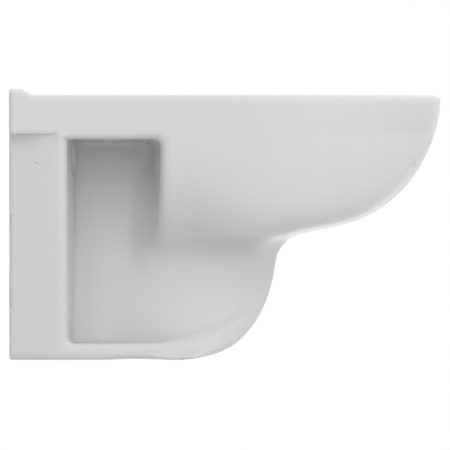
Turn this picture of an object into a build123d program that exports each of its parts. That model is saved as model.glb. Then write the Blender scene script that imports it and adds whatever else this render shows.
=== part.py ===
from build123d import *
from math import cos, pi, radians, sin, tan
import os

# Wall-hung toilet pan in glazed ceramic, in millimetres.
# +Z is up, -Y is towards the nose and the wall face lies on Y = 0. The origin is on the wall face,
# midway between the two fixing holes. "Reach" and "from the wall" are distances along -Y.

# Rim and upper band
HALF_WIDTH = 178.0
RIM_TOP = 80.0
SEAM = 31.7
NOSE = 530.0
SEAM_REACH = 522.5
SHOULDER = 262.0
RIM_EDGE_R = 4.5
RIM_WALL = 9.0
RIM_NOSE_WALL = 10.8
LEDGE_TOP = 87.3
LEDGE_FLAT = 13.0
LEDGE_FOOT = 27.0

# Height and reach of the upper band at the nose
RIM_SIDE = [
    (SEAM, SEAM_REACH),
    (48.8, 527.1),
    (66.0, 529.6),
    (RIM_TOP, NOSE),
]

# Opening of the bowl in the rim
OPENING_HALF = 130.0
OPENING_BACK = 200.0
OPENING_MIDDLE = 290.0
OPENING_FRONT = 487.0
OPENING_EDGE_R = 4.0
LIP_WALL = 8.0
WASH_HOLE_R = 3.0
WASH_HOLES = 30
WASH_HOLE_OUT = 15.0

# Seat hinge holes
HINGE_HALF_SPACING = 77.5
HINGE_FROM_WALL = 122.0
HINGE_HOLE_R = 7.5
HINGE_BOSS_R = 15.0
HINGE_HOLE_END = 18.0

# Casing
SHELL_WALL = 9.5
BACK_PLATE = 12.0
POCKET_BACK = 70.5
POCKET_FRONT = 189.0
POCKET_CEILING = 23.0
POCKET_DRAFT = 5.5
CEILING_DROP = 2.0
FLANGE_SIDE_BACK = 166.0
FLANGE_SIDE_FRONT = 177.0
FLANGE_TAPER = 8.0
FLANGE_TURN = 60.0
FLANGE_EDGE_R = 8.0
FOOT = -245.0
LIP_TOP = -224.0
WEB_TOP_HALF = 52.0
WEB_SLOPE = 0.255
WEB_SHOULDER = 205.0
WEB_TOP_REACH = 290.0
WEB_VOID_REACH = 280.0
BELLY_TURN = 0.35
FOOT_SHOULDER = 78.5
FOOT_TRIM = 1.0
LIP_OVERLAP = 6.0
THROAT = -98.0
VOID_LIFT = 9.0
VOID_SIDE_WALL = 7.6
VOID_FRONT_WALL = 8.55

# Cut that leaves the lip, in the side plane, from the throat down to the ground line
LIP_CUT = [
    (-331.0, -112.0),
    (-316.0, -150.0),
    (-296.0, -178.0),
    (-262.0, -204.0),
    (-215.0, -220.0),
]
LIP_CUT_FRONT = 340.0
LIP_CUT_BACK = 165.0

# Wall fixings
FIX_HALF_SPACING = 90.0
FIX_BOSS_R = 28.0
FIX_HOLE_R = 11.0
STUD_HOLE_R = 6.5
RECESS_R = 19.0
RECESS_START = 46.0
COLLAR_R = 16.0
COLLAR = 3.0
CAP_R = 18.7
CAP_START = 58.0
CAP_FACE = 75.5
CAP_WALL = 2.2

# Water inlet and outlet
INLET_Z = 35.0
INLET_SOCKET_R = 27.5
INLET_OUTER_R = 35.5
INLET_START = 2.0
INLET_END = 102.0
HORN_MOUTH = 60.0
FLUSH_PIPE_R = 22.6
SEAL_LENGTH = 32.0
SPIGOT_R = 51.0
SPIGOT_START = 8.0
SPIGOT_END = 46.0
SPIGOT_ROOM_R = 66.0
HORN_ROOM_HALF = 45.0

# Trapway
WATER_R = 35.0
DIP_LOWEST = 0.545
WEIR_HIGHEST = 0.627
TRAP_WALL = 9.0
BEND_R = 45.0
SUMP_FROM_WALL = 264.6
SUMP_TOP = -110.0
DIP_START = -149.0
RISE_ANGLE = 75.0
RISE_LENGTH = 55.2
FALL_ANGLE = 44.7

# Bowl
BOWL_WALL = 8.0

# Height, half width and reach of the belly, from the seam down into the throat
BELLY = [
    (SEAM, HALF_WIDTH, SEAM_REACH),
    (10.0, 177.0, 513.5),
    (-12.0, 173.0, 501.5),
    (-35.0, 163.0, 483.0),
    (-55.0, 149.0, 461.0),
    (-70.0, 134.0, 436.0),
    (-80.0, 122.0, 405.0),
    (-87.0, 111.0, 373.0),
    (-93.0, 100.0, 350.0),
    (-99.0, 88.0, 339.0),
    (-105.0, 74.0, 332.0),
]

# Height and reach of the foot's front, from the throat to the ground line
FOOT_FRONT = [
    (THROAT, 333.0),
    (-111.0, 330.5),
    (-135.0, 324.9),
    (-160.0, 319.0),
    (-184.0, 309.6),
    (-209.0, 293.6),
    (-222.0, 281.0),
    (-233.4, 262.0),
    (-240.0, 245.0),
    (FOOT, 216.0),
]

# Height, half width, back, middle and front of the bowl's inner face
BOWL = [
    (SEAM, 160.0, 207.0, 275.0, 505.0),
    (0.0, 147.0, 207.0, 275.0, 484.0),
    (-32.0, 123.0, 208.0, 275.0, 452.0),
    (-57.0, 95.0, 210.0, 272.0, 409.0),
    (-77.0, 68.0, 214.0, 268.0, 352.0),
    (-94.0, 45.0, 221.0, 266.0, 315.0),
    (SUMP_TOP, WATER_R, SUMP_FROM_WALL - WATER_R, SUMP_FROM_WALL, SUMP_FROM_WALL + WATER_R),
]


def web_half(z):
    """Half the width between the two pocket floors at height z."""
    return WEB_TOP_HALF + WEB_SLOPE * (POCKET_CEILING - z)


def flange_half(z):
    """Half the width of the flange's front edge at height z."""
    return FLANGE_SIDE_FRONT - FLANGE_TAPER * (SEAM - z) / (SEAM - FOOT)


def d_plan(z, half, back, shoulder, reach):
    """A level section: straight sides from back to shoulder, then half an ellipse out to reach."""
    with BuildSketch(Plane.XY.offset(z)) as section:
        with BuildLine():
            Polyline((-half, -shoulder), (-half, -back), (half, -back), (half, -shoulder))
            EllipticalCenterArc((0, -shoulder), half, reach - shoulder, start_angle=180, arc_size=180)
        make_face()
    return section.sketch


def egg_plan(z, half, back, middle, front, grow=0.0):
    """A level egg-shaped section, short at the back and long in front, made larger all round by grow."""
    side = half + grow
    with BuildSketch(Plane.XY.offset(z)) as section:
        with BuildLine():
            EllipticalCenterArc((0, 1 - middle), side, middle - 1 - back + grow, start_angle=0, arc_size=180)
            EllipticalCenterArc((0, -1 - middle), side, front - middle - 1 + grow, start_angle=180, arc_size=180)
            Line((-side, 1 - middle), (-side, -1 - middle))
            Line((side, 1 - middle), (side, -1 - middle))
        make_face()
    return section.sketch


def web_plan(z, reach, inset):
    """A level section of the web between the pockets and of the foot below them."""
    return d_plan(z, web_half(z) - inset, BACK_PLATE, WEB_SHOULDER, reach)


def flange_plan(from_wall, top_half, low, high, taper):
    """An upright section of the flange, a little narrower at the bottom."""
    with BuildSketch(Plane.XZ.offset(from_wall)) as section:
        low_half = top_half - taper
        Polygon((-low_half, low), (low_half, low), (top_half, high), (-top_half, high), align=None)
    return section.sketch


def round_bar(radius, start, end, x=0.0, z=0.0):
    """A round bar that lies along Y, from start to end away from the wall."""
    with BuildPart() as bar:
        with BuildSketch(Plane.XZ.offset(start)):
            with Locations((x, z)):
                Circle(radius)
        extrude(amount=end - start)
    return bar.part


# Centre line of the trapway, from the sump down, over the weir and out to the spigot
with BuildLine(Plane.YZ) as trap_route:
    sump_leg = Line((-SUMP_FROM_WALL, SUMP_TOP), (-SUMP_FROM_WALL, DIP_START))
    dip = JernArc(sump_leg @ 1, (0, -1), BEND_R, 90 + RISE_ANGLE)
    rise = PolarLine(dip @ 1, RISE_LENGTH, RISE_ANGLE)
    weir = JernArc(rise @ 1, rise % 1, BEND_R, -RISE_ANGLE - FALL_ANGLE)
    fall = JernArc(weir @ 1, weir % 1, BEND_R, FALL_ANGLE)
    OUTLET_Z = (fall @ 1).Z
    run_out = Line(fall @ 1, (-SPIGOT_END, OUTLET_Z))

print("outlet centre", round(OUTLET_Z, 2))
print("water seal", round((weir @ WEIR_HIGHEST).Z - (dip @ DIP_LOWEST).Z - 2 * WATER_R, 1))

# Room that the trapway takes, with its bore filled
with BuildPart() as trap_room:
    with BuildSketch(Plane.XY.offset(SUMP_TOP)):
        with Locations((0, -SUMP_FROM_WALL)):
            Circle(WATER_R + TRAP_WALL)
    sweep(path=trap_route.wire())

# Trapway
with BuildPart() as trapway:
    with BuildSketch(Plane.XY.offset(SUMP_TOP)):
        with Locations((0, -SUMP_FROM_WALL)):
            Circle(WATER_R + TRAP_WALL)
            Circle(WATER_R, mode=Mode.SUBTRACT)
    sweep(path=trap_route.wire())

# Outlet spigot
with BuildPart() as outlet_spigot:
    add(round_bar(SPIGOT_R, SPIGOT_START, SPIGOT_END, z=OUTLET_Z))
    add(round_bar(WATER_R, SPIGOT_START, SPIGOT_END, z=OUTLET_Z), mode=Mode.SUBTRACT)
    mouth = outlet_spigot.edges().group_by(Axis.Y)[-1].sort_by(SortBy.LENGTH)[-1]
    fillet(mouth, 3.0)

# Room that the bowl takes, filled
with BuildPart() as bowl_room:
    loft(sections=[egg_plan(*row, grow=BOWL_WALL) for row in BOWL])

# Bowl
with BuildPart() as bowl:
    add(bowl_room.part)
    loft(sections=[egg_plan(*row) for row in BOWL], mode=Mode.SUBTRACT)

# Room that the inlet horn takes, filled
horn_room = round_bar(INLET_OUTER_R, INLET_START, INLET_END, z=INLET_Z)

# Inlet horn, a socket at the wall with its far end open at the top
with BuildPart() as inlet_horn:
    add(horn_room)
    add(round_bar(INLET_SOCKET_R, INLET_START, INLET_END - RIM_WALL, z=INLET_Z), mode=Mode.SUBTRACT)
    with BuildSketch(Plane.XY.offset(SEAM + LIP_WALL)):
        with Locations((0, -INLET_END)):
            Rectangle(2 * INLET_OUTER_R, HORN_MOUTH)
    extrude(amount=INLET_OUTER_R, mode=Mode.SUBTRACT)

# Inlet seal
with BuildPart() as inlet_seal:
    add(round_bar(INLET_SOCKET_R, INLET_START, INLET_START + SEAL_LENGTH, z=INLET_Z))
    add(round_bar(FLUSH_PIPE_R, INLET_START, INLET_START + SEAL_LENGTH, z=INLET_Z), mode=Mode.SUBTRACT)

# Rim casting: upper band, deck with its ledge, hollow flushing rim
with BuildPart() as rim_casting:
    loft(sections=[d_plan(z, HALF_WIDTH, 0, SHOULDER, reach) for z, reach in RIM_SIDE])
    outer_top_edges = rim_casting.faces().sort_by(Axis.Z)[-1].edges().sort_by(Axis.Y)[:-1]
    fillet(outer_top_edges, RIM_EDGE_R)
    with BuildSketch(Plane.YZ.offset(-HALF_WIDTH)):
        with BuildLine():
            Polyline(
                (-LEDGE_FOOT, RIM_TOP),
                (-LEDGE_FOOT, RIM_TOP - RIM_EDGE_R),
                (0, RIM_TOP - RIM_EDGE_R),
                (0, LEDGE_TOP),
                (-LEDGE_FLAT, LEDGE_TOP),
            )
            Spline((-LEDGE_FLAT, LEDGE_TOP), (-LEDGE_FOOT, RIM_TOP), tangents=((-1, 0), (-1, 0)))
        make_face()
    extrude(amount=2 * HALF_WIDTH)
    loft(
        sections=[
            d_plan(SEAM + LIP_WALL, HALF_WIDTH - RIM_WALL, RIM_WALL, SHOULDER, SEAM_REACH - RIM_WALL),
            d_plan(RIM_TOP - RIM_WALL, HALF_WIDTH - RIM_WALL, RIM_WALL, SHOULDER, NOSE - RIM_NOSE_WALL),
        ],
        mode=Mode.SUBTRACT,
    )
    with BuildSketch(Plane.XY.offset(SEAM)):
        add(egg_plan(0, OPENING_HALF, OPENING_BACK, OPENING_MIDDLE, OPENING_FRONT, grow=LIP_WALL))
        with Locations((-HINGE_HALF_SPACING, -HINGE_FROM_WALL), (HINGE_HALF_SPACING, -HINGE_FROM_WALL)):
            Circle(HINGE_BOSS_R)
    extrude(amount=RIM_TOP - RIM_WALL - SEAM)
    with BuildSketch(Plane.XY.offset(SEAM)):
        add(egg_plan(0, OPENING_HALF, OPENING_BACK, OPENING_MIDDLE, OPENING_FRONT))
        with Locations((-HINGE_HALF_SPACING, -HINGE_FROM_WALL), (HINGE_HALF_SPACING, -HINGE_FROM_WALL)):
            Circle(HINGE_HOLE_R)
    extrude(amount=RIM_TOP - SEAM, mode=Mode.SUBTRACT)
    opening_edges = rim_casting.edges().filter_by(
        lambda edge: abs(edge.center().Z - RIM_TOP) < 0.1
        and abs(edge.center().X) < OPENING_HALF + 1
        and -OPENING_FRONT - 1 < edge.center().Y < -OPENING_BACK
    )
    fillet(opening_edges, OPENING_EDGE_R)
    with BuildSketch(Plane.XY.offset(SEAM)):
        half_length = 0.5 * (OPENING_FRONT - OPENING_BACK) + WASH_HOLE_OUT
        middle = 0.5 * (OPENING_FRONT + OPENING_BACK)
        for step in range(WASH_HOLES):
            turn = 2 * pi * (step + 0.5) / WASH_HOLES
            with Locations(((OPENING_HALF + WASH_HOLE_OUT) * sin(turn), -middle - half_length * cos(turn))):
                Circle(WASH_HOLE_R)
    extrude(amount=LIP_WALL, mode=Mode.SUBTRACT)
    add(round_bar(INLET_OUTER_R, 0, INLET_END, z=INLET_Z), mode=Mode.SUBTRACT)

# Full foot, as wide as the flange
with BuildPart() as full_foot:
    loft(
        sections=[
            d_plan(z, flange_half(z), BACK_PLATE, FOOT_SHOULDER, reach + FOOT_TRIM) for z, reach in FOOT_FRONT
        ]
    )

# Lip along the edge of the foot: the full foot, cut back on both sides
with BuildPart() as foot_lip:
    add(full_foot.part)
    with BuildSketch(Plane.YZ.offset(-HALF_WIDTH)):
        with BuildLine():
            Polyline(
                LIP_CUT[-1],
                (-LIP_CUT_BACK, LIP_TOP),
                (LIP_OVERLAP - POCKET_BACK, LIP_TOP),
                (LIP_OVERLAP - POCKET_BACK, FOOT),
                (0, FOOT),
                (0, 0),
                (-LIP_CUT_FRONT, 0),
                LIP_CUT[0],
            )
            Spline(*LIP_CUT)
        make_face()
    extrude(amount=2 * HALF_WIDTH, mode=Mode.SUBTRACT)

# Flange at the wall
with BuildPart() as flange:
    loft(
        sections=[
            flange_plan(0, FLANGE_SIDE_BACK, FOOT, SEAM, FLANGE_TAPER),
            flange_plan(FLANGE_TURN, FLANGE_SIDE_FRONT, FOOT, SEAM, FLANGE_TAPER),
        ]
    )
    loft(
        sections=[
            flange_plan(FLANGE_TURN, FLANGE_SIDE_FRONT, FOOT, SEAM, FLANGE_TAPER),
            flange_plan(POCKET_BACK, FLANGE_SIDE_FRONT, FOOT, SEAM, FLANGE_TAPER),
        ]
    )
    front_edges = flange.faces().sort_by(Axis.Y)[0].edges().sort_by(Axis.X)
    fillet([front_edges[0], front_edges[-1]], FLANGE_EDGE_R)

# Hollow of the belly, the web and the foot
with BuildPart() as casing_void:
    loft(
        sections=[
            d_plan(SEAM, HALF_WIDTH - SHELL_WALL, POCKET_FRONT + SHELL_WALL, SHOULDER, SEAM_REACH - SHELL_WALL)
        ]
        + [
            d_plan(
                z + VOID_LIFT,
                half - VOID_SIDE_WALL,
                POCKET_FRONT + SHELL_WALL,
                SHOULDER + BELLY_TURN * (z - SEAM),
                reach - VOID_FRONT_WALL,
            )
            for z, half, reach in BELLY[2:-2]
        ]
    )
    loft(
        sections=[
            web_plan(z + VOID_LIFT, reach - SHELL_WALL, SHELL_WALL) for z, reach in FOOT_FRONT[1:-1]
        ]
    )
    loft(
        sections=[
            web_plan(POCKET_CEILING, WEB_VOID_REACH, SHELL_WALL),
            web_plan(FOOT_FRONT[1][0] + VOID_LIFT, FOOT_FRONT[1][1] - SHELL_WALL, SHELL_WALL),
        ]
    )

# Hollow of the flange
with BuildPart() as flange_void:
    floor = FOOT + SHELL_WALL
    loft(
        sections=[
            flange_plan(BACK_PLATE, FLANGE_SIDE_BACK - SHELL_WALL, floor, POCKET_CEILING, FLANGE_TAPER),
            flange_plan(FLANGE_TURN, FLANGE_SIDE_FRONT - SHELL_WALL, floor, POCKET_CEILING, FLANGE_TAPER),
        ]
    )

# Foot between the pockets, kept inside the full foot
with BuildPart() as inner_foot:
    loft(sections=[web_plan(z, reach, 0) for z, reach in FOOT_FRONT])
    add(full_foot.part, mode=Mode.INTERSECT)

# Outer shell
with BuildPart() as outer_shell:
    loft(
        sections=[
            d_plan(z, half, POCKET_FRONT, SHOULDER + BELLY_TURN * (z - SEAM), reach) for z, half, reach in BELLY
        ]
    )
    loft(sections=[web_plan(SEAM, WEB_TOP_REACH, 0), web_plan(*FOOT_FRONT[0], 0)])
    add(inner_foot.part)
    add(foot_lip.part)
    add(flange.part)
    # Drafted back walls of the pockets
    with BuildSketch(Plane.XY.offset(LIP_TOP)):
        draft = (FLANGE_SIDE_FRONT - WEB_TOP_HALF) * tan(radians(POCKET_DRAFT))
        outer_x = flange_half(LIP_TOP) - FLANGE_EDGE_R
        Polygon(
            (-outer_x, -POCKET_BACK),
            (-WEB_TOP_HALF, -POCKET_BACK - draft),
            (WEB_TOP_HALF, -POCKET_BACK - draft),
            (outer_x, -POCKET_BACK),
            align=None,
        )
    extrude(amount=SEAM - LIP_TOP)
    # Drafted ceilings of the pockets
    with BuildSketch(Plane.XZ.offset(BACK_PLATE)):
        Polygon(
            (-FLANGE_SIDE_FRONT, SEAM),
            (-FLANGE_SIDE_FRONT, SEAM - CEILING_DROP),
            (-WEB_TOP_HALF, POCKET_CEILING),
            (WEB_TOP_HALF, POCKET_CEILING),
            (FLANGE_SIDE_FRONT, SEAM - CEILING_DROP),
            (FLANGE_SIDE_FRONT, SEAM),
            align=None,
        )
    extrude(amount=POCKET_FRONT + 1 - BACK_PLATE)
    add(casing_void.part, mode=Mode.SUBTRACT)
    add(flange_void.part, mode=Mode.SUBTRACT)
    # Tunnels for the fixings
    for x in (-FIX_HALF_SPACING, FIX_HALF_SPACING):
        add(round_bar(FIX_BOSS_R, 0, POCKET_BACK, x=x))
    for x in (-FIX_HALF_SPACING, FIX_HALF_SPACING):
        add(round_bar(FIX_HOLE_R, 0, RECESS_START, x=x), mode=Mode.SUBTRACT)
        add(round_bar(RECESS_R, RECESS_START, POCKET_BACK + draft, x=x), mode=Mode.SUBTRACT)
    # Back opening round the spigot and the horn
    with BuildSketch(Plane.XZ):
        with Locations((0, OUTLET_Z)):
            Circle(SPIGOT_ROOM_R)
        Polygon(
            (-HORN_ROOM_HALF, OUTLET_Z),
            (HORN_ROOM_HALF, OUTLET_Z),
            (HORN_ROOM_HALF, SEAM),
            (-HORN_ROOM_HALF, SEAM),
            align=None,
        )
    extrude(amount=BACK_PLATE, mode=Mode.SUBTRACT)
    # Hinge holes, which come out in the pockets
    with BuildSketch(Plane.XY.offset(SEAM)):
        with Locations((-HINGE_HALF_SPACING, -HINGE_FROM_WALL), (HINGE_HALF_SPACING, -HINGE_FROM_WALL)):
            Circle(HINGE_HOLE_R)
    extrude(amount=HINGE_HOLE_END - SEAM, mode=Mode.SUBTRACT)
    add(bowl_room.part, mode=Mode.SUBTRACT)
    add(trap_room.part, mode=Mode.SUBTRACT)
    add(horn_room, mode=Mode.SUBTRACT)

pieces = {
    "outer_shell": outer_shell,
    "rim_casting": rim_casting,
    "bowl": bowl,
    "trapway": trapway,
    "outlet_spigot": outlet_spigot,
    "inlet_horn": inlet_horn,
    "inlet_seal": inlet_seal,
}

# Liners and covers of the two fixing holes, left and right as seen from the front
for side, x in (("left", -FIX_HALF_SPACING), ("right", FIX_HALF_SPACING)):
    with BuildPart() as sleeve:
        add(round_bar(FIX_HOLE_R, 0, RECESS_START, x=x))
        add(round_bar(COLLAR_R, RECESS_START, RECESS_START + COLLAR, x=x))
        add(round_bar(STUD_HOLE_R, 0, RECESS_START + COLLAR, x=x), mode=Mode.SUBTRACT)
    with BuildPart() as cap:
        add(round_bar(CAP_R, CAP_START, CAP_FACE, x=x))
        add(round_bar(CAP_R - CAP_WALL, CAP_START, CAP_FACE - CAP_WALL, x=x), mode=Mode.SUBTRACT)
        fillet(cap.edges().sort_by(Axis.Y)[0], 1.0)
    pieces[f"fixing_sleeve_{side}"] = sleeve
    pieces[f"fixing_cap_{side}"] = cap

os.makedirs("parts", exist_ok=True)
for name, piece in pieces.items():
    piece.part.label = name
    export_step(piece.part, f"parts/{name}.step")
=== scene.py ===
import functools
import math

import bmesh
import bpy
import numpy as np
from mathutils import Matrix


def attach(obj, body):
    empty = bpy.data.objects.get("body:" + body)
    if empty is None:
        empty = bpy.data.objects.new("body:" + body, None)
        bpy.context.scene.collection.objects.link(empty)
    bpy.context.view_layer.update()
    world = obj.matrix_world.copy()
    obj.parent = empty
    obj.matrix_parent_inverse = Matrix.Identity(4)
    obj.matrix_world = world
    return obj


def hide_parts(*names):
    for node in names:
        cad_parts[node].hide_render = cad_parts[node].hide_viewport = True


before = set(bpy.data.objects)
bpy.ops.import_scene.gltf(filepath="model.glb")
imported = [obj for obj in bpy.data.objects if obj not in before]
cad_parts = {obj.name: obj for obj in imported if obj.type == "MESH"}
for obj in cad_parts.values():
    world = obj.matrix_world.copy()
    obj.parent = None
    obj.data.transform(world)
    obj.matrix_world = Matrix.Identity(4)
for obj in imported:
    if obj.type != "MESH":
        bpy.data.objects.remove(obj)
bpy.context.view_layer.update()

import openvdb

# The visible ceramic skin is worked out as one smooth field of distances, in millimetres, with x
# across, u out from the wall and z up. It is turned into a mesh and parted into rim and casing.

bl_info = {
    "name": "Wall hung toilet pan",
    "version": (1, 0, 0),
    "blender": (4, 5, 0),
    "location": "3D View > Sidebar > Pan",
    "description": "Ceramic skin, finishes and stage of a wall hung toilet pan",
    "category": "Object",
}

MM = 1000.0
PAN_BODY = "pan"

# Height and reach of the outline seen from the side, from the rim down to the foot
OUTLINE = [
    (95.0, 529.2), (73.0, 530.0), (48.8, 527.1), (24.3, 519.7), (-0.3, 508.3), (-24.8, 492.8),
    (-49.3, 468.6), (-67.7, 440.8), (-80.0, 404.9), (-86.1, 375.9), (-92.3, 350.8), (-98.4, 340.5),
    (-110.7, 330.9), (-135.2, 324.9), (-159.8, 319.1), (-184.3, 309.6), (-208.8, 293.7),
    (-221.1, 281.9), (-233.4, 262.0), (-240.0, 244.0), (-255.0, 176.0),
]

# Side outline of the dished part of the foot, from the wall side round to the throat
DISH = [
    (40.0, -224.0), (165.0, -224.0), (190.0, -222.5), (215.0, -220.0), (240.0, -214.0),
    (262.0, -204.5), (281.0, -192.0), (296.0, -178.0), (307.0, -165.0), (316.0, -150.0),
    (325.0, -130.0), (331.0, -112.0), (345.0, 60.0), (40.0, 60.0),
]

# The foot's underside, from its rounded front end back under a slight arch
UNDERSIDE = [
    (246.6, -239.0), (234.3, -241.9), (222.0, -243.4), (208.0, -244.5), (197.0, -244.5), (185.0, -243.8),
    (156.0, -243.1), (136.0, -243.7), (112.0, -244.5),
]

# The sizes from here to the stage's are in millimetres, unless their comment says otherwise

# Ends of the grid: to the side, out from the wall and up
GRID_SIDE = 186.0
GRID_OUT = (-6.0, 538.0)
GRID_UP = (-254.0, 96.0)
# Distances in plan have no slope on the middle plane, so points nearer than this count as this far
NEAR_MIDDLE = 0.5
# Reach and height of the closed outlines where they run outside the pan
BEHIND_WALL = -20.0
OVER_RIM = 120.0
OVER_FOOT = 60.0

# Throat between belly and foot, and the height where the outline gives way to the underside
THROAT = -98.0
THROAT_REACH = 333.0
OUTLINE_END = -238.0

# Belly: where it draws in, how square its section is at the back and at the nose, and its least width
BELLY_TOP = 20.0
BELLY_DEPTH = 148.0
BELLY_DEPTH_SHARE = 0.985
BELLY_POWER = 2.1
NOSE_POWER_ADDED = 2.2
NOSE_POWER_FROM = 222.0
NOSE_POWER_OVER = 196.0
BELLY_LEAST_SHARE = 0.5
BELLY_BLEND = 0.03
BELLY_SHARE_AT_TOP = 1.0146

# How far the belly's plan runs past the outline before the outline cuts it, and the edge of that cut
PLAN_FURTHER_FROM = 522.5
PLAN_FURTHER = 45.0
KEEL_END = -99.0
KEEL_BACK = [(-40.0, -130.0), (100.0, -130.0), (300.0, -112.0)]
KEEL_RADIUS_SHARE = 0.9
KEEL_RADII = (0.5, 30.0)

# Ledge at the wall, flange and side pockets
LEDGE_FALL = (14.0, 30.0)
FLANGE_FRONT = 60.0
CEILING_SLOPE = 0.026
POCKET_DRAFT = 0.10
POCKET_CORNER = 9.0
CREASE_RADIUS = 1.2
# What the radius of the ceiling's edge grows by, and between which places
CEILING_EDGE = [(7.3, 57.0, 80.0), (3.0, 140.0, 180.0)]

# Foot with the flange
FOOT_HALF = 177.0
FOOT_TAPER = 10.0
FOOT_TAPER_HEIGHT = 276.7
FOOT_STRAIGHT = 78.0
FOOT_REACH = 331.5
FLANGE_SETBACK = 18.0
FLANGE_DRAFT = 0.096
GROUND_EDGE = 6.0
DISH_CORNER = 8.0
LIP_EDGE = 9.0
FOOT_PAST_SEAM = 3.0

# Web between the pockets
WEB_SLOPE = 0.19
WEB_TOP = 23.0
WEB_REACH_SLOPE = 0.25
WEB_STRAIGHT = 205.0
WEB_GROUND_EDGE = 4.0
WEB_PAST_SEAM = 6.0

# Floor of the dish
FLOOR_HALF = 90.0
FLOOR_WIDER = 72.0
FLOOR_FLARE = 2.8
NECK_NARROWER = 26.0
NECK_HEIGHTS = (-125.0, -60.0)
NECK_PLACES = (150.0, 200.0)
FLOOR_BACK = 110.0
FLOOR_WIDEST = 225.0
FLOOR_FURTHER = 25.0
FLOOR_TOP = -70.0
FLOOR_EDGE = 6.0

# Widths over which the shapes flow into each other
WEB_FLOW = 24.0
BELLY_FLOW = 5.0
BELLY_FLOW_ADDED = 42.0
BELLY_FLOW_DEPTHS = (-12.0, 45.0)
BELLY_FLOW_PLACES = (100.0, 170.0)
DISH_FILLET = 10.0

# Opening of the rim: half width, back, widest place and front
OPENING = (130.0, 200.0, 290.0, 487.0)
OPENING_BOTTOM = 25.0
OPENING_EDGE = 4.0

# Walls round the flushing duct in the rim, and the wall at the back
DUCT_WALL = 9.0
DUCT_FLOOR = 39.7
DUCT_INNER_WALL = 8.0
BACK_WALL = 12.0

# Hinge holes
HINGE_SIDE = 77.5
HINGE_OUT = 122.0
HINGE_BOSS = 15.0
HINGE_RADIUS = 7.5
HINGE_END = 16.0
HINGE_EDGE = 1.0

# Inlet and the keyhole-shaped opening at the back
INLET_HEIGHT = 35.0
INLET_RADIUS = 35.8
INLET_END = 102.0
OUTLET_HEIGHT = -100.0
KEYHOLE_RADIUS = 66.0
KEYHOLE_HALF = 45.0
KEYHOLE_TOP = 25.0
KEYHOLE_DEPTH = 13.0
KEYHOLE_EDGE = 2.0

# Tunnels of the wall fixings, with the recesses of their covers
FIXING_SIDE = 90.0
FIXING_BOSS = 28.0
FIXING_BOSS_END = 85.0
LINER_RADIUS = 11.3
LINER_END = 60.0
RECESS_RADIUS = 19.0
RECESS_BOTTOM = 46.0
RECESS_END = 95.0
RECESS_EDGE = 1.5

# Back face, which stands just clear of the wall
BACK_CLEAR = 0.2
BACK_EDGE = 2.0

# Meshing: how far from the surface the field is kept, in grid steps, and how far flat parts are thinned
FIELD_BAND = 4.0
THINNING = 0.1
# The cut between rim and casing lies this far below the crease, in metres
CUT_BELOW_CREASE = 0.0012

# Stage, in metres, except for the width of the camera's sensor in millimetres
SENSOR = 36.0
CLIP_START = 0.5
CLIP_END = 200.0
STAGE_FLOOR_RADIUS = 1.6
STAGE_FLOOR_MIDDLE = -0.265
STAGE_FLOOR_TONES = ((0.62, 0.62, 0.62), (0.60, 0.60, 0.60))
STAGE_FLOOR_GLOW = 0.62

# Finishes: fineness of the noise, the part of its range that is used, and how far the gloss varies
NOISE_DETAIL = 2.0
NOISE_LOW = 0.3
NOISE_HIGH = 0.7
GLOSS_PATCHES = 3.0
GLOSS_LOW = 0.85
GLOSS_HIGH = 1.15


class PanSizes(bpy.types.PropertyGroup):
    """Sizes of the ceramic skin."""

    half_width: bpy.props.FloatProperty(
        name="Half width", description="Half the width of the rim", default=0.178, unit="LENGTH")
    rim_top: bpy.props.FloatProperty(
        name="Rim top", description="Height of the rim above the fixings", default=0.080, unit="LENGTH")
    rim_edge: bpy.props.FloatProperty(
        name="Rim edge", description="Radius of the rim's outer top edge", default=0.0065, unit="LENGTH")
    ledge: bpy.props.FloatProperty(
        name="Ledge", description="Height of the small ledge at the wall", default=0.0073, unit="LENGTH")
    seam: bpy.props.FloatProperty(
        name="Seam", description="Height of the crease above the flange", default=0.0317, unit="LENGTH")
    shoulder: bpy.props.FloatProperty(
        name="Shoulder", description="Where the straight sides turn into the nose",
        default=0.262, unit="LENGTH")
    pocket_back: bpy.props.FloatProperty(
        name="Pocket back", description="Wall side of the side pockets", default=0.0705, unit="LENGTH")
    pocket_front: bpy.props.FloatProperty(
        name="Pocket front", description="Bowl side of the side pockets", default=0.1865, unit="LENGTH")
    pocket_ceiling: bpy.props.FloatProperty(
        name="Pocket ceiling", description="Height of the pockets' ceiling at the outside",
        default=0.0258, unit="LENGTH")
    web_half: bpy.props.FloatProperty(
        name="Web", description="Half the thickness between the pockets at the top",
        default=0.052, unit="LENGTH")
    foot: bpy.props.FloatProperty(
        name="Foot", description="Height of the foot's underside", default=-0.2445, unit="LENGTH")
    wall: bpy.props.FloatProperty(
        name="Ceramic wall", description="Thickness of the cast ceramic", default=0.0095, unit="LENGTH")
    step: bpy.props.FloatProperty(
        name="Mesh step", description="Spacing of the grid that the skin is meshed on",
        default=0.002, unit="LENGTH")


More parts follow.
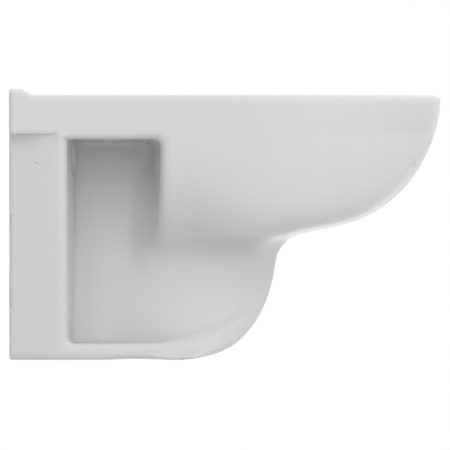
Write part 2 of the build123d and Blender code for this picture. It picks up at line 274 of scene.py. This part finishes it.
class PanFinish(bpy.types.PropertyGroup):
    """Colours and gloss."""

    glaze: bpy.props.FloatVectorProperty(
        name="Glaze", description="Colour of the white glaze", subtype="COLOR", size=3,
        default=(0.57, 0.57, 0.57), min=0.0, max=1.0)
    glaze_roughness: bpy.props.FloatProperty(
        name="Glaze roughness", description="Roughness of the glaze", default=0.2, min=0.0, max=1.0)
    bisque: bpy.props.FloatVectorProperty(
        name="Bare ceramic", description="Colour of the thinly glazed ceramic inside",
        subtype="COLOR", size=3,
        default=(0.74, 0.72, 0.68), min=0.0, max=1.0)
    rubber: bpy.props.FloatVectorProperty(
        name="Rubber", description="Colour of the seal", subtype="COLOR", size=3,
        default=(0.03, 0.03, 0.03), min=0.0, max=1.0)
    liner: bpy.props.FloatVectorProperty(
        name="Liner plastic", description="Colour of the fixing liners", subtype="COLOR", size=3,
        default=(0.70, 0.70, 0.66), min=0.0, max=1.0)
    cap: bpy.props.FloatVectorProperty(
        name="Cap plastic", description="Colour of the fixing covers", subtype="COLOR", size=3,
        default=(0.80, 0.80, 0.80), min=0.0, max=1.0)


class PanStage(bpy.types.PropertyGroup):
    """Camera, light and floor."""

    frame_width: bpy.props.FloatProperty(
        name="Picture width", description="Width that the picture covers at the pan",
        default=0.5522, unit="LENGTH")
    aim_from_wall: bpy.props.FloatProperty(
        name="Aim out", description="Middle of the picture, out from the wall",
        default=0.2643, unit="LENGTH")
    aim_height: bpy.props.FloatProperty(
        name="Aim height", description="Middle of the picture, above the fixings",
        default=-0.0794, unit="LENGTH")
    lens: bpy.props.FloatProperty(
        name="Lens", description="Focal length in millimetres, long for a flat side view",
        default=1600.0)
    sky_top: bpy.props.FloatProperty(
        name="Light from above", description="Strength of the soft light from above", default=1.72)
    sky_bottom: bpy.props.FloatProperty(
        name="Light from below", description="Strength of the soft light from below", default=0.76)
    sky_sides: bpy.props.FloatProperty(
        name="Light from the sides", description="Added strength of the light from both sides",
        default=0.55)
    sky_wall: bpy.props.FloatProperty(
        name="Shade of the wall", description="What the wall behind the pan takes off the light",
        default=1.2)
    sky_front: bpy.props.FloatProperty(
        name="Shade in front", description="What is taken off the light that falls on the nose",
        default=0.35)
    floor_height: bpy.props.FloatProperty(
        name="Floor", description="Height of the floor, below the fixings", default=-0.40, unit="LENGTH")


# Shapes as distances: below nought inside, above nought outside


def ease(value, start, end):
    """Goes smoothly from 0 at start to 1 at end."""
    t = np.clip((value - start) / (end - start), 0.0, 1.0)
    return t * t * (3.0 - 2.0 * t)


def meet(a, b, radius):
    """What lies in both shapes, with the edge between them rounded."""
    over_a = np.maximum(a + radius, 0.0)
    over_b = np.maximum(b + radius, 0.0)
    return np.minimum(np.maximum(a, b), -radius) + np.sqrt(over_a * over_a + over_b * over_b)


def join(a, b, radius):
    """Both shapes, with the corner between them filled to a radius."""
    return -meet(-a, -b, radius)


def melt(a, b, width):
    """Both shapes, flowing into each other over a width."""
    h = np.maximum(width - np.abs(a - b), 0.0) / width
    return np.minimum(a, b) - 0.25 * width * h * h


def kept_above(value, least, blend):
    """The value, bent smoothly so that it stays above the least one."""
    over = value - least
    return 0.5 * over + least + 0.5 * np.sqrt(over * over + blend)


def all_of(*shapes):
    """What lies in every one of the shapes, with sharp edges."""
    return functools.reduce(np.maximum, shapes)


def curve_through(points, at):
    """Value at each place of the smooth curve through (place, value) points."""
    place, value = np.array(sorted(points), dtype=float).T
    count = len(place)
    gap = np.diff(place)
    rise = np.diff(value) / gap
    system = np.eye(count)
    right = np.zeros(count)
    for i in range(1, count - 1):
        system[i, i - 1:i + 2] = gap[i - 1], 2.0 * (gap[i - 1] + gap[i]), gap[i]
        right[i] = 6.0 * (rise[i] - rise[i - 1])
    bend = np.linalg.solve(system, right)
    at = np.clip(at, place[0], place[-1])
    i = np.clip(np.searchsorted(place, at) - 1, 0, count - 2)
    a = (place[i + 1] - at) / gap[i]
    b = 1.0 - a
    cubic = ((a ** 3 - a) * bend[i] + (b ** 3 - b) * bend[i + 1]) * gap[i] ** 2 / 6.0
    return a * value[i] + b * value[i + 1] + cubic


def ellipse(x, along, half, length):
    """Distance to a plan with straight sides up to along = 0 and half an ellipse beyond it."""
    s = np.maximum(x, NEAR_MIDDLE) / half
    t = np.maximum(along, 0.0) / length
    q = np.sqrt(s * s + t * t) + 1e-6
    slope = np.sqrt((s / half) ** 2 + (t / length) ** 2) / q + 1e-6
    return (q - 1.0) / slope


def egg(x, u, half, back, middle, front):
    """Distance to an egg-shaped plan."""
    length = np.where(u < middle, middle - back, front - middle)
    t = np.abs(u - middle) / length
    s = np.maximum(x, NEAR_MIDDLE) / half
    q = np.sqrt(s * s + t * t) + 1e-6
    slope = np.sqrt((s / half) ** 2 + (t / length) ** 2) / q + 1e-6
    return (q - 1.0) / slope


def evened(field, step):
    """The same surface with distances that grow by one per millimetre."""
    gx, gu, gz = np.gradient(field, step)
    return field / np.maximum(np.sqrt(gx * gx + gu * gu + gz * gz), 1.0)


def outline_distance(points, u, z):
    """Distance to a closed outline in the side plane."""
    points = np.asarray(points, dtype=float)
    near = np.full(np.broadcast(u, z).shape, 1e9)
    inside = np.zeros(near.shape, dtype=bool)
    for a, b in zip(points, np.roll(points, -1, axis=0)):
        run = b - a
        t = np.clip(((u - a[0]) * run[0] + (z - a[1]) * run[1]) / (run @ run), 0.0, 1.0)
        near = np.minimum(near, np.hypot(u - a[0] - t * run[0], z - a[1] - t * run[1]))
        if a[1] != b[1]:
            crosses = ((a[1] > z) != (b[1] > z)) & (u < a[0] + (z - a[1]) * run[0] / run[1])
            inside ^= crosses
    return np.where(inside, -near, near)


class Grid:
    """Points of one half of the pan, x from just left of the middle."""

    def __init__(self, step):
        self.step = step
        self.pad = 2
        self.xs = np.arange(-self.pad * step, GRID_SIDE, step)
        self.us = np.arange(*GRID_OUT, step)
        self.zs = np.arange(*GRID_UP, step)
        self.x = np.abs(self.xs)[:, None, None].astype(np.float32)
        self.u = self.us[None, :, None].astype(np.float32)
        self.z = self.zs[None, None, :].astype(np.float32)

    def level(self, values):
        """Values that change with height only."""
        return values[None, None, :].astype(np.float32)

    def side(self, points):
        """Distance to a closed outline in the side plane, the same at every x."""
        return outline_distance(points, self.us[:, None], self.zs[None, :])[None].astype(np.float32)


def belly_field(grid, s, reach):
    """Band and belly: full in plan, squarer in section towards the nose, cut to the outline."""
    x, u, z, zs = grid.x, grid.u, grid.z, grid.zs
    half, seam, shoulder = s.half_width * MM, s.seam * MM, s.shoulder * MM
    drop = np.clip((BELLY_TOP - z) / BELLY_DEPTH, 0.0, BELLY_DEPTH_SHARE)
    power = BELLY_POWER + NOSE_POWER_ADDED * np.clip((u - NOSE_POWER_FROM) / NOSE_POWER_OVER, 0.0, 1.0)
    share = kept_above((1.0 - drop ** power) ** (1.0 / power), BELLY_LEAST_SHARE, BELLY_BLEND)
    belly_half = half * share / BELLY_SHARE_AT_TOP
    short = np.maximum(PLAN_FURTHER_FROM - reach, 0.0)
    further = PLAN_FURTHER * (1.0 - np.exp(-short / PLAN_FURTHER))
    plan_reach = np.where(zs > seam, reach, reach + further)
    body = evened(ellipse(x, u - shoulder, belly_half, grid.level(plan_reach - shoulder)), grid.step)
    rows = [(r, h) for r, h in zip(reach, zs) if h > KEEL_END]
    keel = grid.side(KEEL_BACK + rows + [(rows[-1][0], OVER_RIM), (KEEL_BACK[0][0], OVER_RIM)])
    steep = np.hypot(1.0, np.gradient(plan_reach, zs))
    radius = np.clip(KEEL_RADIUS_SHARE * (plan_reach - reach) / steep, *KEEL_RADII)
    return meet(body, keel, grid.level(radius))


def pocketed(body, grid, s):
    """The band and belly with the rim's top, the ledge and the pockets' ceiling and front."""
    x, u, z = grid.x, grid.u, grid.z
    half = s.half_width * MM
    top = z - s.rim_top * MM - s.ledge * MM * (1.0 - ease(u, *LEDGE_FALL))
    body = meet(body, top, s.rim_edge * MM)
    inwards = half - x
    ceiling = np.where(u < FLANGE_FRONT, s.seam * MM, s.pocket_ceiling * MM - inwards * CEILING_SLOPE)
    clear = join(s.pocket_front * MM - inwards * POCKET_DRAFT - u, ceiling - z, POCKET_CORNER)
    edge = CREASE_RADIUS
    for more, start, end in CEILING_EDGE:
        edge = edge + more * ease(u, start, end)
    return meet(body, clear, edge)


def foot_field(grid, s, side):
    """Flange and foot, with the dish cut out of its side."""
    x, u, z = grid.x, grid.u, grid.z
    half, seam = s.half_width * MM, s.seam * MM
    foot_half = grid.level(FOOT_HALF - FOOT_TAPER * (seam - grid.zs) / FOOT_TAPER_HEIGHT)
    foot = ellipse(x, u - FOOT_STRAIGHT, foot_half, FOOT_REACH - FOOT_STRAIGHT)
    setback = FLANGE_SETBACK * np.maximum(FLANGE_FRONT - u, 0.0) / FLANGE_FRONT
    foot = np.maximum(foot, x - foot_half + setback)
    hull = meet(evened(foot, grid.step), side, GROUND_EDGE)
    flange = u - s.pocket_back * MM - (half - x) * FLANGE_DRAFT
    keep = join(flange, -grid.side(DISH), DISH_CORNER)
    return np.maximum(meet(hull, keep, LIP_EDGE), z - seam - FOOT_PAST_SEAM)


def web_field(grid, s, reach):
    """The web between the pockets, running on into the throat."""
    zs = grid.zs
    web_half = s.web_half * MM + WEB_SLOPE * (WEB_TOP - zs)
    web_reach = np.minimum(reach, THROAT_REACH - WEB_REACH_SLOPE * np.maximum(zs - THROAT, 0.0))
    length = grid.level(web_reach - WEB_STRAIGHT)
    web = evened(ellipse(grid.x, grid.u - WEB_STRAIGHT, grid.level(web_half), length), grid.step)
    web = meet(web, s.foot * MM - grid.z, WEB_GROUND_EDGE)
    return np.maximum(web, grid.z - s.seam * MM - WEB_PAST_SEAM)


def floor_field(grid, s, reach, side):
    """The floor of the dish, wider towards the ground until it runs into the lip."""
    zs = grid.zs
    spread = np.clip((THROAT - zs) / (THROAT - s.foot * MM), 0.0, 1.0) ** FLOOR_FLARE
    neck = NECK_NARROWER * ease(grid.z, *NECK_HEIGHTS) * (1.0 - ease(grid.u, *NECK_PLACES))
    floor_half = grid.level(FLOOR_HALF + FLOOR_WIDER * spread) - neck
    front = grid.level(reach + FLOOR_FURTHER)
    floor = evened(egg(grid.x, grid.u, floor_half, FLOOR_BACK, FLOOR_WIDEST, front), grid.step)
    return meet(meet(floor, side, FLOOR_EDGE), grid.level(zs - FLOOR_TOP), FLOOR_EDGE)


def outside_field(grid, s):
    """Distance to the pan's outer surface, with its pockets and the dished foot."""
    u, z, zs = grid.u, grid.z, grid.zs
    foot_z = s.foot * MM
    reach = curve_through(OUTLINE, zs)
    rows = [(r, h) for r, h in zip(reach, zs) if h > OUTLINE_END]
    front = [(r, h) for r, h in rows[::-1] if h < THROAT and r < THROAT_REACH]
    side = [(THROAT_REACH, OVER_FOOT)] + front + UNDERSIDE
    side = grid.side(side + [(BEHIND_WALL, foot_z), (BEHIND_WALL, OVER_FOOT)])
    body = pocketed(belly_field(grid, s, reach), grid, s)
    foot = foot_field(grid, s, side)
    inner = melt(web_field(grid, s, reach), floor_field(grid, s, reach, side), WEB_FLOW)
    low = ease(-z, *BELLY_FLOW_DEPTHS) * ease(u, *BELLY_FLOW_PLACES)
    flowing = melt(body, inner, BELLY_FLOW + BELLY_FLOW_ADDED * low)
    outside = np.minimum(flowing, join(inner, foot, DISH_FILLET))
    # What the joins add beyond the outline is taken off again
    whole = [(BEHIND_WALL, foot_z)] + UNDERSIDE[::-1] + rows
    whole = grid.side(whole + [(rows[-1][0], OVER_RIM), (BEHIND_WALL, OVER_RIM)])
    return all_of(outside, whole, grid.x - s.half_width * MM)


def pan_field(grid, s):
    """Distance to the hollow ceramic: outer surface, rim opening, flushing duct and the casing's inside."""
    x, u, z = grid.x, grid.u, grid.z
    outside = outside_field(grid, s)
    opening = egg(x, u, *OPENING)
    hinge = np.hypot(x - HINGE_SIDE, u - HINGE_OUT)
    inlet = np.hypot(x, z - INLET_HEIGHT)
    fixing = np.hypot(x - FIXING_SIDE, z)
    solid = meet(outside, -np.maximum(opening, OPENING_BOTTOM - z), OPENING_EDGE)
    duct = all_of(
        outside + DUCT_WALL, DUCT_FLOOR - z, DUCT_INNER_WALL - opening, BACK_WALL - u, HINGE_BOSS - hinge)
    bosses = np.minimum(FIXING_BOSS - fixing, FIXING_BOSS_END - u)
    inside = all_of(outside + s.wall * MM, z - s.seam * MM, BACK_WALL - u, bosses)
    solid = all_of(solid, -duct, -inside)
    solid = meet(solid, -np.maximum(hinge - HINGE_RADIUS, HINGE_END - z), HINGE_EDGE)
    solid = np.maximum(solid, -np.maximum(inlet - INLET_RADIUS, u - INLET_END))
    slot = all_of(x - KEYHOLE_HALF, z - KEYHOLE_TOP, OUTLET_HEIGHT - z)
    keyhole = np.minimum(np.hypot(x, z - OUTLET_HEIGHT) - KEYHOLE_RADIUS, slot)
    solid = meet(solid, -np.maximum(keyhole, u - KEYHOLE_DEPTH), KEYHOLE_EDGE)
    solid = np.maximum(solid, -np.maximum(fixing - LINER_RADIUS, u - LINER_END))
    recess = all_of(fixing - RECESS_RADIUS, RECESS_BOTTOM - u, u - RECESS_END)
    solid = meet(solid, -recess, RECESS_EDGE)
    return meet(solid, BACK_CLEAR - u, BACK_EDGE)


def sampled(array, index):
    """Values of an array at points given in grid steps, taken between neighbours."""
    low = np.clip(np.floor(index).astype(int), 0, np.array(array.shape) - 2)
    t = index - low
    value = 0.0
    for corner in range(8):
        pick = [(corner >> axis) & 1 for axis in range(3)]
        weight = 1.0
        for axis in range(3):
            weight = weight * (t[:, axis] if pick[axis] else 1.0 - t[:, axis])
        value = value + weight * array[low[:, 0] + pick[0], low[:, 1] + pick[1], low[:, 2] + pick[2]]
    return value


def mesh_field(grid, field):
    """Points, normals and faces of the surface of a half field and its mirror image."""
    half = field[grid.pad:]
    whole = np.concatenate([half[:0:-1], half]).astype(np.float32)
    band = FIELD_BAND * grid.step
    level_set = openvdb.FloatGrid(band)
    level_set.copyFromArray(np.clip(whole, -band, band))
    points, triangles, quads = level_set.convertToPolygons(0.0, THINNING)
    index = points.astype(float)
    slopes = np.gradient(whole, grid.step)
    # Each point is moved on to the surface, at most half a grid step at a time
    for turn in range(2):
        slope = np.stack([sampled(g, index) for g in slopes], axis=1)
        size = np.maximum((slope * slope).sum(1, keepdims=True), 0.25)
        move = sampled(whole, index)[:, None] * slope / size / grid.step
        index = index - np.clip(move, -0.5, 0.5)
    normal = np.stack([sampled(g, index) for g in slopes], axis=1)
    normal /= np.maximum(np.linalg.norm(normal, axis=1, keepdims=True), 1e-9)
    place = np.stack([
        (index[:, 0] - (len(half) - 1)) * grid.step,
        -(grid.us[0] + index[:, 1] * grid.step),
        grid.zs[0] + index[:, 2] * grid.step,
    ], axis=1) / MM
    normal[:, 1] *= -1.0
    faces = [f[::-1] for f in triangles.tolist()] + [f[::-1] for f in quads.tolist()]
    return place, normal, faces


def material_slot(obj, material):
    """Gives an object its one material."""
    obj.data.materials.clear()
    obj.data.materials.append(material)


def skin_piece(name, bm, material, body, nodes):
    """A finished skin piece from a bmesh whose layer holds the normals."""
    mesh = bpy.data.meshes.new(name)
    layer = bm.verts.layers.float_vector["skin_normal"]
    bm.to_mesh(mesh)
    mesh.polygons.foreach_set("use_smooth", np.ones(len(mesh.polygons), dtype=bool))
    count = len(mesh.vertices)
    normals = np.zeros(count * 3, dtype=np.float32)
    mesh.attributes["skin_normal"].data.foreach_get("vector", normals)
    mesh.attributes.remove(mesh.attributes["skin_normal"])
    mesh.normals_split_custom_set_from_vertices(normals.reshape(-1, 3).tolist())
    obj = bpy.data.objects.new(name, mesh)
    bpy.context.scene.collection.objects.link(obj)
    material_slot(obj, material)
    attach(obj, body)
    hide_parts(*nodes)
    return obj


def skin_bmesh(place, normal, faces):
    """The skin as a bmesh, with the normals kept in a layer so that cuts carry them along."""
    mesh = bpy.data.meshes.new("skin_draft")
    mesh.from_pydata(place.tolist(), [], faces)
    attribute = mesh.attributes.new("skin_normal", "FLOAT_VECTOR", "POINT")
    attribute.data.foreach_set("vector", normal.astype(np.float32).ravel())
    bm = bmesh.new()
    bm.from_mesh(mesh)
    bpy.data.meshes.remove(mesh)
    return bm


def cut_level(bm, height, keep_above):
    """Cuts the skin level at a height, keeps one side and closes the cut."""
    side = 1.0 if keep_above else -1.0
    geometry = bm.verts[:] + bm.edges[:] + bm.faces[:]
    cut = bmesh.ops.bisect_plane(
        bm, geom=geometry, dist=1e-7, plane_co=(0, 0, height), plane_no=(0, 0, side), clear_inner=True)
    edges = [e for e in cut["geom_cut"] if isinstance(e, bmesh.types.BMEdge)]
    bmesh.ops.triangle_fill(bm, use_beauty=True, use_dissolve=False, edges=edges, normal=(0, 0, -side))
    return bm


# Materials


def node_material(name):
    """An empty node material and its Principled shader."""
    material = bpy.data.materials.new(name)
    material.use_nodes = True
    nodes = material.node_tree.nodes
    links = material.node_tree.links
    shader = nodes["Principled BSDF"]
    return material, nodes, links, shader


def mottled(nodes, links, coords, scale, low, high):
    """A noise that runs between two values."""
    noise = nodes.new("ShaderNodeTexNoise")
    noise.inputs["Scale"].default_value = scale
    noise.inputs["Detail"].default_value = NOISE_DETAIL
    links.new(coords, noise.inputs["Vector"])
    spread = nodes.new("ShaderNodeMapRange")
    spread.inputs["From Min"].default_value = NOISE_LOW
    spread.inputs["From Max"].default_value = NOISE_HIGH
    spread.inputs["To Min"].default_value = low
    spread.inputs["To Max"].default_value = high
    links.new(noise.outputs["Fac"], spread.inputs["Value"])
    return spread.outputs["Result"]


def shaded_colour(nodes, links, share, first, second):
    """A colour between two, by a share from nought to one."""
    mix = nodes.new("ShaderNodeMix")
    mix.data_type = "RGBA"
    mix.inputs["A"].default_value = (*first, 1.0)
    mix.inputs["B"].default_value = (*second, 1.0)
    links.new(share, mix.inputs["Factor"])
    return mix.outputs["Result"]


def surface_bump(nodes, links, coords, shader, scale, distance):
    """A fine unevenness of the surface."""
    noise = nodes.new("ShaderNodeTexNoise")
    noise.inputs["Scale"].default_value = scale
    noise.inputs["Detail"].default_value = NOISE_DETAIL
    links.new(coords, noise.inputs["Vector"])
    bump = nodes.new("ShaderNodeBump")
    bump.inputs["Strength"].default_value = 1.0
    bump.inputs["Distance"].default_value = distance
    links.new(noise.outputs["Fac"], bump.inputs["Height"])
    links.new(bump.outputs["Normal"], shader.inputs["Normal"])


def finish_material(name, colour, contrast, patch_scale, roughness, bump_scale, bump_depth, specular=0.5):
    """A finish with patches of slightly different tone and gloss, and a fine unevenness."""
    material, nodes, links, shader = node_material(name)
    coords = nodes.new("ShaderNodeTexCoord").outputs["Object"]
    share = mottled(nodes, links, coords, patch_scale, 0.0, 1.0)
    darker = tuple(c * (1.0 - contrast) for c in colour)
    links.new(shaded_colour(nodes, links, share, colour, darker), shader.inputs["Base Color"])
    gloss = mottled(
        nodes, links, coords, GLOSS_PATCHES * patch_scale, GLOSS_LOW * roughness, GLOSS_HIGH * roughness)
    links.new(gloss, shader.inputs["Roughness"])
    surface_bump(nodes, links, coords, shader, bump_scale, bump_depth)
    shader.inputs["Specular IOR Level"].default_value = specular
    return material


def glaze_material(finish):
    """The white glaze, made once and shared by all glazed pieces."""
    return bpy.data.materials.get("white_glaze") or finish_material(
        "white_glaze", tuple(finish.glaze), contrast=0.012, patch_scale=9.0,
        roughness=finish.glaze_roughness, bump_scale=70.0, bump_depth=0.00004, specular=0.25)


# Pieces


class PAN_OT_skin(bpy.types.Operator):
    """Makes the rim and the casing as one smooth ceramic skin, parted just below the crease"""

    bl_idname = "pan.skin"
    bl_label = "Rim and casing"

    def execute(self, context):
        s = context.scene.pan_sizes
        grid = Grid(s.step * MM)
        place, normal, faces = mesh_field(grid, pan_field(grid, s))
        glaze = glaze_material(context.scene.pan_finish)
        split = s.seam - CUT_BELOW_CREASE
        rim = cut_level(skin_bmesh(place, normal, faces), split, True)
        skin_piece("rim", rim, glaze, PAN_BODY, ["rim_casting"])
        casing = cut_level(skin_bmesh(place, normal, faces), split, False)
        skin_piece("casing", casing, glaze, PAN_BODY, ["outer_shell"])
        rim.free()
        casing.free()
        return {"FINISHED"}


class PAN_OT_bowl_and_trap(bpy.types.Operator):
    """Gives the bowl and the trapway their glaze"""

    bl_idname = "pan.bowl_and_trap"
    bl_label = "Bowl and trapway"

    def execute(self, context):
        glaze = glaze_material(context.scene.pan_finish)
        for name in ("bowl", "trapway"):
            material_slot(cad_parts[name], glaze)
        return {"FINISHED"}


class PAN_OT_water_ends(bpy.types.Operator):
    """Gives the outlet spigot, the inlet horn and its seal their finishes"""

    bl_idname = "pan.water_ends"
    bl_label = "Inlet and outlet"

    def execute(self, context):
        finish = context.scene.pan_finish
        bare = finish_material(
            "thin_glaze", tuple(finish.bisque), contrast=0.06, patch_scale=25.0, roughness=0.45,
            bump_scale=160.0, bump_depth=0.00015)
        for name in ("outlet_spigot", "inlet_horn"):
            material_slot(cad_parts[name], bare)
        rubber = finish_material(
            "seal_rubber", tuple(finish.rubber), contrast=0.2, patch_scale=40.0, roughness=0.6,
            bump_scale=500.0, bump_depth=0.00010)
        material_slot(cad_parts["inlet_seal"], rubber)
        return {"FINISHED"}


class PAN_OT_fixings(bpy.types.Operator):
    """Gives the liners and covers of the wall fixings their plastics"""

    bl_idname = "pan.fixings"
    bl_label = "Fixing liners and covers"

    def execute(self, context):
        finish = context.scene.pan_finish
        liner = finish_material(
            "liner_plastic", tuple(finish.liner), contrast=0.05, patch_scale=40.0, roughness=0.5,
            bump_scale=600.0, bump_depth=0.00006)
        cap = finish_material(
            "cap_plastic", tuple(finish.cap), contrast=0.02, patch_scale=30.0, roughness=0.25,
            bump_scale=400.0, bump_depth=0.00003)
        for side in ("left", "right"):
            material_slot(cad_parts["fixing_sleeve_" + side], liner)
            material_slot(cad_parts["fixing_cap_" + side], cap)
        return {"FINISHED"}


class PAN_OT_stage(bpy.types.Operator):
    """Sets up the camera, the soft light and the pale floor"""

    bl_idname = "pan.stage"
    bl_label = "Camera, light and floor"

    def execute(self, context):
        stage = context.scene.pan_stage
        scene = context.scene
        scene.view_settings.view_transform = "Standard"
        camera = bpy.data.objects.new("camera", bpy.data.cameras.new("camera"))
        camera.data.lens = stage.lens
        camera.data.sensor_width = SENSOR
        distance = stage.frame_width * stage.lens / camera.data.sensor_width
        distance += 0.5 * scene.pan_sizes.half_width
        camera.location = (-distance, -stage.aim_from_wall, stage.aim_height)
        camera.rotation_euler = (math.radians(90.0), 0.0, math.radians(-90.0))
        camera.data.clip_start = CLIP_START
        camera.data.clip_end = CLIP_END
        scene.collection.objects.link(camera)
        scene.camera = camera
        self.world(scene, stage)
        self.floor(scene, stage)
        return {"FINISHED"}

    def world(self, scene, stage):
        """Soft light, strongest from above and weak from below and from the wall, seen as plain white."""
        world = bpy.data.worlds.new("studio")
        scene.world = world
        world.use_nodes = True
        nodes, links = world.node_tree.nodes, world.node_tree.links
        direction = nodes.new("ShaderNodeTexCoord").outputs["Generated"]
        parts = nodes.new("ShaderNodeSeparateXYZ")
        links.new(direction, parts.inputs["Vector"])
        height = nodes.new("ShaderNodeMapRange")
        height.inputs["From Min"].default_value = -1.0
        height.inputs["From Max"].default_value = 1.0
        height.inputs["To Min"].default_value = stage.sky_bottom
        height.inputs["To Max"].default_value = stage.sky_top
        links.new(parts.outputs["Z"], height.inputs["Value"])
        sides = worked_out(nodes, links, "MULTIPLY", parts.outputs["X"], parts.outputs["X"])
        light = worked_out(nodes, links, "MULTIPLY_ADD", sides, stage.sky_sides, height.outputs["Result"])
        wall = worked_out(nodes, links, "MAXIMUM", parts.outputs["Y"], 0.0)
        light = worked_out(nodes, links, "MULTIPLY_ADD", wall, -stage.sky_wall, light)
        front = worked_out(nodes, links, "MINIMUM", parts.outputs["Y"], 0.0)
        light = worked_out(nodes, links, "MULTIPLY_ADD", front, stage.sky_front, light)
        seen = seen_directly(nodes, links)
        strength = nodes.new("ShaderNodeMix")
        links.new(seen, strength.inputs["Factor"])
        links.new(light, strength.inputs["A"])
        strength.inputs["B"].default_value = 1.0
        links.new(strength.outputs["Result"], nodes["Background"].inputs["Strength"])
        nodes["Background"].inputs["Color"].default_value = (1.0, 1.0, 1.0, 1.0)

    def floor(self, scene, stage):
        """A round pale floor that shows white and keeps the pan's soft shadow."""
        bm = bmesh.new()
        bmesh.ops.create_circle(bm, cap_ends=True, segments=96, radius=STAGE_FLOOR_RADIUS)
        mesh = bpy.data.meshes.new("floor")
        bm.to_mesh(mesh)
        bm.free()
        mesh.transform(Matrix.Translation((0.0, STAGE_FLOOR_MIDDLE, stage.floor_height)))
        floor = bpy.data.objects.new("floor", mesh)
        scene.collection.objects.link(floor)
        material, nodes, links, shader = node_material("floor_paint")
        coords = nodes.new("ShaderNodeTexCoord").outputs["Object"]
        tone = mottled(nodes, links, coords, 5.0, 0.0, 1.0)
        links.new(shaded_colour(nodes, links, tone, *STAGE_FLOOR_TONES), shader.inputs["Base Color"])
        shader.inputs["Roughness"].default_value = 0.9
        shader.inputs["Specular IOR Level"].default_value = 0.0
        glow = nodes.new("ShaderNodeEmission")
        glow.inputs["Strength"].default_value = STAGE_FLOOR_GLOW
        both = nodes.new("ShaderNodeAddShader")
        links.new(shader.outputs["BSDF"], both.inputs[0])
        links.new(glow.outputs["Emission"], both.inputs[1])
        choose = nodes.new("ShaderNodeMixShader")
        links.new(seen_directly(nodes, links), choose.inputs["Fac"])
        links.new(shader.outputs["BSDF"], choose.inputs[1])
        links.new(both.outputs["Shader"], choose.inputs[2])
        links.new(choose.outputs["Shader"], nodes["Material Output"].inputs["Surface"])
        material_slot(floor, material)


def worked_out(nodes, links, operation, *terms):
    """The result of one sum of numbers and outputs."""
    node = nodes.new("ShaderNodeMath")
    node.operation = operation
    for socket, term in zip(node.inputs, terms):
        if isinstance(term, float):
            socket.default_value = term
        else:
            links.new(term, socket)
    return node.outputs["Value"]


def seen_directly(nodes, links):
    """One for what the camera sees, also in a gloss or through glass, and nought for other rays."""
    path = nodes.new("ShaderNodeLightPath").outputs
    gloss = worked_out(nodes, links, "MAXIMUM", path["Is Glossy Ray"], path["Is Transmission Ray"])
    return worked_out(nodes, links, "MAXIMUM", path["Is Camera Ray"], gloss)


STEPS = ("stage", "skin", "bowl_and_trap", "water_ends", "fixings")


class PAN_PT_sidebar(bpy.types.Panel):
    """Sizes, finishes and the pieces in the order that they are made"""

    bl_idname = "PAN_PT_sidebar"
    bl_label = "Wall hung toilet pan"
    bl_space_type = "VIEW_3D"
    bl_region_type = "UI"
    bl_category = "Pan"

    def draw(self, context):
        for group in (context.scene.pan_sizes, context.scene.pan_finish, context.scene.pan_stage):
            for name in group.__annotations__:
                self.layout.prop(group, name)
        for step in STEPS:
            self.layout.operator("pan." + step)


CLASSES = (
    PanSizes, PanFinish, PanStage, PAN_OT_skin, PAN_OT_bowl_and_trap, PAN_OT_water_ends, PAN_OT_fixings,
    PAN_OT_stage, PAN_PT_sidebar,
)


def register():
    for cls in CLASSES:
        bpy.utils.register_class(cls)
    bpy.types.Scene.pan_sizes = bpy.props.PointerProperty(type=PanSizes)
    bpy.types.Scene.pan_finish = bpy.props.PointerProperty(type=PanFinish)
    bpy.types.Scene.pan_stage = bpy.props.PointerProperty(type=PanStage)


def unregister():
    del bpy.types.Scene.pan_stage
    del bpy.types.Scene.pan_finish
    del bpy.types.Scene.pan_sizes
    for cls in reversed(CLASSES):
        bpy.utils.unregister_class(cls)


def main():
    register()
    for step in STEPS:
        getattr(bpy.ops.pan, step)()


if __name__ == "__main__":
    main()
